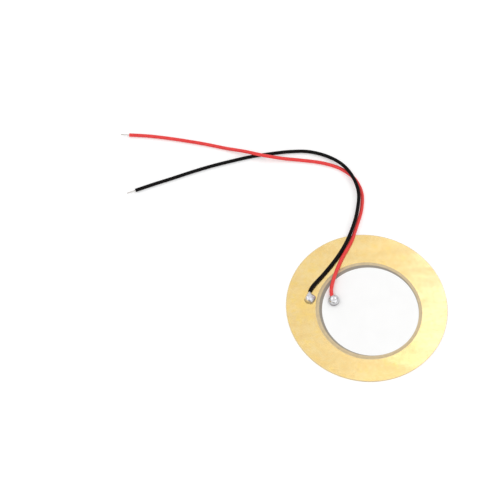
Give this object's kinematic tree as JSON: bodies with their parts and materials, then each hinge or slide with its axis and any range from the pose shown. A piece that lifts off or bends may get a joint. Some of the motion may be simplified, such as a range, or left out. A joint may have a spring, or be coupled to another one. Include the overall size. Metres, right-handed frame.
{
  "type": "piezo disc",
  "caption": "Thin round brass plate with a bonded piezo ceramic disc, a silver electrode, and a black and a red lead soldered on.",
  "frame": {"origin": "centre of the brass plate's flat back face, on the surface that the disc rests on", "axes": "+Z is the plate's normal, from its back up through the ceramic; -X points from the plate's centre towards the two solder joints, and the leads run off towards +Y and then -X"},
  "size_m": [0.073, 0.0618, 0.0021],
  "materials": {
    "brass": "satin",
    "adhesive": "satin",
    "fired_silver": "matte",
    "piezo_ceramic": "matte",
    "solder": "gloss",
    "black_sleeve": "satin",
    "red_sleeve": "satin",
    "tinned_copper": "satin"
  },
  "bodies": {
    "root": {"brass_plate": "brass", "bond_layer": "adhesive", "bottom_electrode": "fired_silver", "ceramic_disc": "piezo_ceramic", "top_electrode": "fired_silver", "brass_solder": "solder", "electrode_solder": "solder", "black_insulation": "black_sleeve", "black_conductor": "tinned_copper", "red_insulation": "red_sleeve", "red_conductor": "tinned_copper"}
  },
  "joints": []
}
